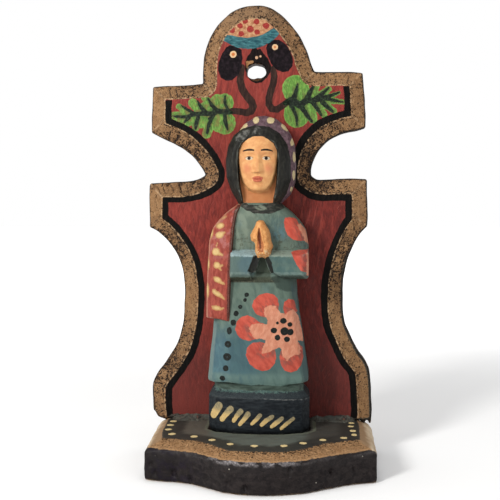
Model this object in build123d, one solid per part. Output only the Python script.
from build123d import *
import math
import os

# Carved and painted wooden devotional statue: a praying Madonna in front of a
# shaped backboard that stands on the rear of a bow-fronted base slab.
# Millimetres. While modelling, x runs left to right, y = 0 is the front face
# of the backboard, y grows towards the back, and z = 0 is the ground.
# Everything is moved by ORIGIN_SHIFT at the end, so that the origin is the
# middle of the footprint on the ground.

# ---------------------------------------------------------------- dimensions
BASE_T = 18.0            # thickness of the base slab
BASE_BEVEL_DROP = 2.7    # height of the bevel round the base's top edge
BASE_BEVEL_SIDE = 6.8    # width of that bevel along the two sides
BASE_BEVEL_FRONT = 7.8   # width of that bevel along the bowed front

BOARD_T = 12.0           # thickness of the backboard
BOARD_BEVEL_W = 6.6      # width of the knife-cut bevel round its front face
BOARD_BEVEL_D = 3.0      # depth of that bevel at the outer edge
HANG_HOLE_R = 4.3        # hanging hole through the top of the board
HANG_HOLE_X = -2.4
HANG_HOLE_Z = 196.9

NAIL_SHANK_R = 0.9       # round wire nails, 30 mm long
NAIL_LENGTH = 30.0
NAIL_HEAD_R = 2.1
NAIL_HEAD_T = 0.9
NAIL_POINT = 2.0         # length of the tapered point
NAIL_SINK = 0.4          # heads sit this far below the wood's surface

PIN_R = 0.6              # small panel pins through the foot of the board
PIN_LENGTH = 16.0
PIN_TILT = 42.0          # degrees from level, driven down into the base

BEAD_UP = 3.6            # glue and filler bead: height on the board
BEAD_OUT = 4.6           # and width on the base

ORIGIN_SHIFT = (0.25, 28.65, 0.0)

# Outline of the backboard, seen from the front, (x, z), anticlockwise from
# the bottom right corner.
BOARD = [
    (56.9, 18.0), (55.9, 44.0), (52.6, 50.7), (49.5, 54.8), (45.7, 62.2), (43.0, 68.6),
    (41.2, 77.5), (41.4, 90.9), (43.6, 100.1), (46.6, 108.3), (49.6, 114.0), (53.4, 118.4),
    (53.2, 130.0), (53.0, 141.2), (29.1, 141.5), (24.8, 144.0), (26.2, 152.0), (30.1, 159.3),
    (35.1, 163.3), (40.6, 165.7), (52.3, 169.0), (51.1, 195.5), (26.1, 195.9), (24.9, 199.0),
    (22.6, 206.9), (18.9, 214.3), (14.2, 220.6), (9.0, 225.6), (2.8, 229.0), (-3.0, 229.8),
    (-10.0, 229.0), (-16.0, 226.2), (-20.6, 222.1), (-24.5, 216.4), (-27.5, 209.6),
    (-28.9, 202.1), (-29.1, 191.0), (-54.9, 188.9), (-55.8, 167.0), (-44.7, 161.5),
    (-37.4, 157.0), (-32.3, 152.7), (-29.3, 148.4), (-27.5, 144.6), (-33.9, 141.4),
    (-56.7, 139.3), (-57.4, 117.8), (-51.1, 114.1), (-47.3, 110.0), (-43.8, 104.8),
    (-41.2, 98.8), (-39.8, 92.0), (-39.0, 83.2), (-39.4, 73.9), (-41.0, 64.6),
    (-44.2, 56.0), (-48.6, 48.8), (-52.8, 43.0), (-56.1, 37.6), (-55.3, 18.0),
]

# Plan of the base slab, (x, y), anticlockwise from the rear left, bowed front.
BASE = [
    (-47.4, 12.0), (-51.7, 5.2), (-52.9, -5.6), (-53.0, -28.0), (-52.5, -48.4),
    (-45.0, -50.2), (-37.7, -51.2), (-27.4, -55.2), (-20.6, -60.2), (-13.2, -66.2),
    (-4.1, -68.9), (5.2, -69.3), (13.8, -67.9), (22.6, -65.0), (30.6, -59.6),
    (42.8, -51.6), (56.2, -46.9), (56.0, -28.0), (56.5, -5.4), (55.3, 5.0), (50.8, 12.0),
]

# The figure's parts, as front outlines (x, z).
HAIR = [
    (-9.3, 129.6), (-13.7, 136.7), (-16.0, 143.5), (-16.2, 151.3), (-15.0, 158.6),
    (-12.4, 163.5), (-8.4, 166.8), (-2.0, 168.6), (5.3, 168.0), (11.2, 164.6),
    (15.2, 158.5), (16.8, 151.3), (16.8, 141.5), (13.8, 135.2), (10.3, 129.6),
]
VEIL = [
    (-8.0, 129.6), (-12.6, 137.5), (-14.4, 146.0), (-14.2, 156.0), (-10.8, 165.0),
    (-7.3, 169.6), (-1.9, 172.8), (2.6, 173.2), (8.5, 171.5), (13.0, 168.1), (16.0, 163.6),
    (17.9, 158.0), (18.5, 149.0), (18.5, 139.2), (16.0, 134.2), (10.0, 129.6),
]
SHAWL = [
    (-10.4, 130.2), (-16.2, 126.2), (-22.9, 118.2), (-25.1, 108.0), (-25.6, 100.0),
    (-26.0, 88.0), (-26.0, 73.4), (-14.7, 72.8), (-14.4, 100.0), (-12.8, 117.0), (-10.2, 127.0),
]
ARM_RIGHT = [
    (11.2, 129.8), (16.6, 126.6), (20.6, 122.4), (23.2, 117.6), (24.2, 110.0),
    (24.3, 101.5), (24.0, 93.4), (12.9, 93.0), (9.5, 100.0), (7.5, 118.0),
]
FOREARM_LEFT = [(-15.0, 92.8), (-3.4, 92.6), (-0.9, 104.2), (-4.5, 107.2), (-15.0, 107.0)]
FOREARM_RIGHT = [(23.6, 93.6), (12.9, 93.0), (6.8, 96.8), (2.8, 104.4), (6.6, 107.0), (23.8, 107.4)]
HANDS = [
    (1.4, 121.6), (-1.6, 119.2), (-4.0, 112.8), (-2.6, 109.4), (-1.2, 103.0), (3.2, 102.6),
    (6.2, 106.4), (6.8, 109.0), (5.7, 114.5), (3.8, 119.4),
]


# ------------------------------------------------------------------- helpers
def inset(points, distances):
    """Mitred inward offset of an anticlockwise polygon, one distance an edge."""
    n = len(points)
    out = []
    for i in range(n):
        (ax, ay), (bx, by), (cx, cy) = points[i - 1], points[i], points[(i + 1) % n]
        d0, d1 = distances[i - 1], distances[i]
        ux, uy = bx - ax, by - ay
        vx, vy = cx - bx, cy - by
        lu, lv = math.hypot(ux, uy), math.hypot(vx, vy)
        ux, uy, vx, vy = ux / lu, uy / lu, vx / lv, vy / lv
        # inward normals of an anticlockwise loop point to the left
        px, py = ax - uy * d0, ay + ux * d0
        qx, qy = bx - vy * d1, by + vx * d1
        cross = ux * vy - uy * vx
        if abs(cross) < 1e-6:
            out.append((bx - uy * (d0 + d1) / 2, by + ux * (d0 + d1) / 2))
            continue
        t = ((qx - px) * vy - (qy - py) * vx) / cross
        out.append((px + ux * t, py + uy * t))
    return out


def area(points):
    n = len(points)
    return sum(points[i][0] * points[(i + 1) % n][1] - points[(i + 1) % n][0] * points[i][1]
               for i in range(n)) / 2


def ccw(points):
    return points if area(points) > 0 else points[::-1]


def front_wire(points, y):
    return Wire.make_polygon([Vector(x, y, z) for x, z in points], close=True)


def plan_wire(points, z):
    return Wire.make_polygon([Vector(x, y, z) for x, y in points], close=True)


def ruled(wires):
    return Solid.make_loft(wires, ruled=True)


def slab_front(points, y_back, y_edge, y_front, bevel):
    """Solid with a front outline, flat back, upright sides and a bevelled front."""
    points = ccw(points)
    small = inset(points, [bevel] * len(points))
    return ruled([front_wire(points, y_back), front_wire(points, y_edge), front_wire(small, y_front)])


def one(shape):
    """The single solid of a boolean result."""
    found = shape.solids()
    if len(found) != 1:
        raise ValueError("expected one solid, found %d" % len(found))
    return found[0]


def joined(parts):
    result = parts[0]
    for piece in parts[1:]:
        result = result.fuse(piece)
    return one(result)


def nail(length, shank_r, head_r, head_t, point):
    """Wire nail with its head's top at the origin, pointing along +Z."""
    profile = [
        (0.0, 0.0), (head_r, 0.0), (head_r, head_t), (shank_r, head_t),
        (shank_r, length - point), (0.0, length),
    ]
    face = Face(Wire.make_polygon([Vector(r, 0, h) for r, h in profile], close=True))
    return Solid.revolve(face, 360, Axis.Z)


def pocket(radius, depth):
    """Short cylinder from the surface down to a sunk head, along +Z."""
    return Solid.make_cylinder(radius, depth)


# ------------------------------------------------------------- the backboard
board_outline = ccw(BOARD)
board_bevels = []
for i, p in enumerate(board_outline):
    q = board_outline[(i + 1) % len(board_outline)]
    bottom = abs(p[1] - BASE_T) < 1e-6 and abs(q[1] - BASE_T) < 1e-6
    board_bevels.append(0.0 if bottom else BOARD_BEVEL_W)
board_inner = inset(board_outline, board_bevels)
backboard = ruled([
    front_wire(board_outline, BOARD_T),
    front_wire(board_outline, BOARD_BEVEL_D),
    front_wire(board_inner, 0.0),
])
hang_hole = Solid.make_cylinder(
    HANG_HOLE_R, BOARD_T + 4, Plane((HANG_HOLE_X, -2, HANG_HOLE_Z), z_dir=(0, 1, 0)))
backboard = one(backboard.cut(hang_hole))

# ------------------------------------------------------------- the base slab
base_outline = ccw(BASE)
base_bevels = []
for i, p in enumerate(base_outline):
    q = base_outline[(i + 1) % len(base_outline)]
    mid_y = (p[1] + q[1]) / 2
    if mid_y > 11.9:
        base_bevels.append(0.0)
    elif mid_y < -47.5:
        base_bevels.append(BASE_BEVEL_FRONT)
    else:
        base_bevels.append(BASE_BEVEL_SIDE)
base_inner = inset(base_outline, base_bevels)
base = ruled([
    plan_wire(base_outline, 0.0),
    plan_wire(base_outline, BASE_T - BASE_BEVEL_DROP),
    plan_wire(base_inner, BASE_T),
])

# ---------------------------------------------------------------- the figure
# One whittled block: pedestal, groove, skirt, torso, sleeves, hands, head.
PEDESTAL_TOP = 35.6
PEDESTAL_SHOULDER = 38.9
HEM_Z = 40.8
pedestal_plan = ccw([
    (-24.2, 0.0), (-24.4, -20.5), (-20.5, -25.2), (-11.5, -28.4), (0.0, -29.5),
    (12.0, -28.6), (20.6, -25.4), (24.5, -20.8), (24.3, 0.0),
])
pedestal_inner = inset(pedestal_plan, [
    0.0 if abs(pedestal_plan[i][1]) < 1e-6 and abs(pedestal_plan[(i + 1) % len(pedestal_plan)][1]) < 1e-6
    else 2.6 for i in range(len(pedestal_plan))])
pedestal = ruled([
    plan_wire(pedestal_plan, BASE_T),
    plan_wire(pedestal_plan, PEDESTAL_TOP),
    plan_wire(pedestal_inner, PEDESTAL_SHOULDER),
])
neck_of_pedestal = ruled([plan_wire(pedestal_inner, PEDESTAL_SHOULDER - 1.0),
                          plan_wire(pedestal_inner, HEM_Z + 2.0)])

def body_plan(left, right, depth, corner):
    """Plan section of the body: flat back, chamfered corners, bowed front."""
    mid = (left + right) / 2
    return ccw([
        (left, 0.0), (left, -depth + 2 * corner), (left + corner, -depth + 0.7 * corner),
        (mid - 0.28 * (right - left), -depth + 0.12 * corner), (mid, -depth),
        (mid + 0.28 * (right - left), -depth + 0.12 * corner),
        (right - corner, -depth + 0.7 * corner), (right, -depth + 2 * corner), (right, 0.0),
    ])

skirt = ruled([
    plan_wire(body_plan(-24.3, 23.2, 27.6, 3.6), HEM_Z),
    plan_wire(body_plan(-25.0, 24.5, 28.4, 3.6), HEM_Z + 3.4),
    plan_wire(body_plan(-23.6, 21.8, 25.6, 3.8), 66.0),
    plan_wire(body_plan(-21.5, 18.0, 22.0, 4.0), 92.0),
])
torso = ruled([
    plan_wire(body_plan(-21.5, 18.5, 20.5, 4.0), 88.0),
    plan_wire(body_plan(-21.5, 21.5, 20.5, 4.0), 108.0),
    plan_wire(body_plan(-20.5, 20.5, 19.0, 4.4), 118.0),
    plan_wire(body_plan(-11.0, 11.6, 15.0, 3.4), 130.4),
])
shawl = slab_front(SHAWL, 0.0, -17.0, -23.6, 2.6)
arm_right = slab_front(ARM_RIGHT, 0.0, -16.0, -22.4, 3.0)
forearm_left = slab_front(FOREARM_LEFT, -8.0, -24.0, -27.4, 1.8)
forearm_right = slab_front(FOREARM_RIGHT, -8.0, -24.0, -27.4, 1.8)
hands = slab_front(HANDS, -14.0, -27.5, -31.4, 2.2)
neck = ruled([
    plan_wire(body_plan(-6.4, 7.0, 17.6, 2.0), 126.0),
    plan_wire(body_plan(-6.0, 6.6, 17.6, 2.0), 140.0),
])
hair = slab_front(HAIR, 0.0, -16.0, -20.8, 3.2)
veil = slab_front(VEIL, 0.0, -10.5, -14.0, 2.4)
face = Solid.make_sphere(10.0).moved(Location((0.3, -14.6, 146.4)))
chin = Solid.make_sphere(7.6).moved(Location((0.3, -15.6, 139.0)))

figure = joined([pedestal, neck_of_pedestal, skirt, torso, shawl, arm_right, forearm_left,
                 forearm_right, hands, neck, hair, veil, face, chin])

# --------------------------------------------------------- nails and fillets
one_nail = nail(NAIL_LENGTH, NAIL_SHANK_R, NAIL_HEAD_R, NAIL_HEAD_T, NAIL_POINT)

# Up through the base into the board's bottom edge.
board_nail_places = [Plane((x, 6.2, NAIL_SINK), z_dir=(0, 0, 1)) for x in (-38.0, 0.6, 39.0)]
# Up through the base into the pedestal.
pedestal_nail_places = [Plane((x, -13.0, NAIL_SINK), z_dir=(0, 0, 1)) for x in (-9.0, 9.5)]
# From behind through the board into the figure.
figure_nail_places = [Plane((x, BOARD_T - NAIL_SINK, z), z_dir=(0, -1, 0))
                      for x, z in ((-1.2, 56.0), (0.9, 112.0))]


def place(shape, plane):
    return shape.moved(plane.location)


board_nails = [place(one_nail, p) for p in board_nail_places]
pedestal_nails = [place(one_nail, p) for p in pedestal_nail_places]
figure_nails = [place(one_nail, p) for p in figure_nail_places]

head_pocket = pocket(NAIL_HEAD_R, NAIL_SINK + 1.0).moved(Location((0, 0, -NAIL_SINK - 1.0)))
pockets_below = [place(head_pocket, p) for p in board_nail_places + pedestal_nail_places]
pockets_behind = [place(head_pocket, p) for p in figure_nail_places]

# Panel pins, driven aslant through the foot of the board into the base.
tilt = math.radians(PIN_TILT)
pin_direction = (0.0, math.cos(tilt), -math.sin(tilt))
one_pin = nail(PIN_LENGTH, PIN_R, PIN_R + 0.35, 0.5, 1.4)
foot_pin_places = [Plane((x, -2.3, BASE_T + 1.75), z_dir=pin_direction) for x in (-32.4, 43.2)]
foot_pins = [place(one_pin, p) for p in foot_pin_places]

# Beads of glue and filler along the joint, left and right of the pedestal.
def bead(x0, x1):
    section = Face(Wire.make_polygon([
        Vector(x0, 0.0, BASE_T), Vector(x0, -BEAD_OUT, BASE_T),
        Vector(x0, -0.46 * BEAD_OUT, BASE_T + 0.42 * BEAD_UP), Vector(x0, 0.0, BASE_T + BEAD_UP),
    ], close=True))
    return Solid.extrude(section, Vector(x1 - x0, 0, 0))


glue_beads = [bead(-45.0, -24.6), bead(24.8, 48.0)]

# Holes are the nails' own shapes, so the shanks bear on the wood all round.
for n in board_nails + pedestal_nails + foot_pins + pockets_below:
    base = base.cut(n)
base = one(base)
for n in board_nails + figure_nails + foot_pins + pockets_behind:
    backboard = backboard.cut(n)
backboard = one(backboard)
for n in pedestal_nails + figure_nails:
    figure = figure.cut(n)
figure = one(figure)
for n in foot_pins:
    glue_beads = [one(b.cut(n)) for b in glue_beads]

# -------------------------------------------------------------------- export
nodes = {
    "backboard": [backboard],
    "base": [base],
    "figure": [figure],
    "board_nails": board_nails,
    "pedestal_nails": pedestal_nails,
    "figure_nails": figure_nails,
    "foot_pins": foot_pins,
    "glue_beads": glue_beads,
}
os.makedirs("parts", exist_ok=True)
shift = Location(ORIGIN_SHIFT)
for name, solids in nodes.items():
    shape = Compound(children=[s.moved(shift) for s in solids])
    shape.label = name
    export_step(shape, "parts/%s.step" % name)
    box = shape.bounding_box()
    print("%-15s %d solid(s)  volume %9.1f mm3  x %7.2f %7.2f  y %7.2f %7.2f  z %7.2f %7.2f" % (
        name, len(solids), sum(s.volume for s in solids),
        box.min.X, box.max.X, box.min.Y, box.max.Y, box.min.Z, box.max.Z))
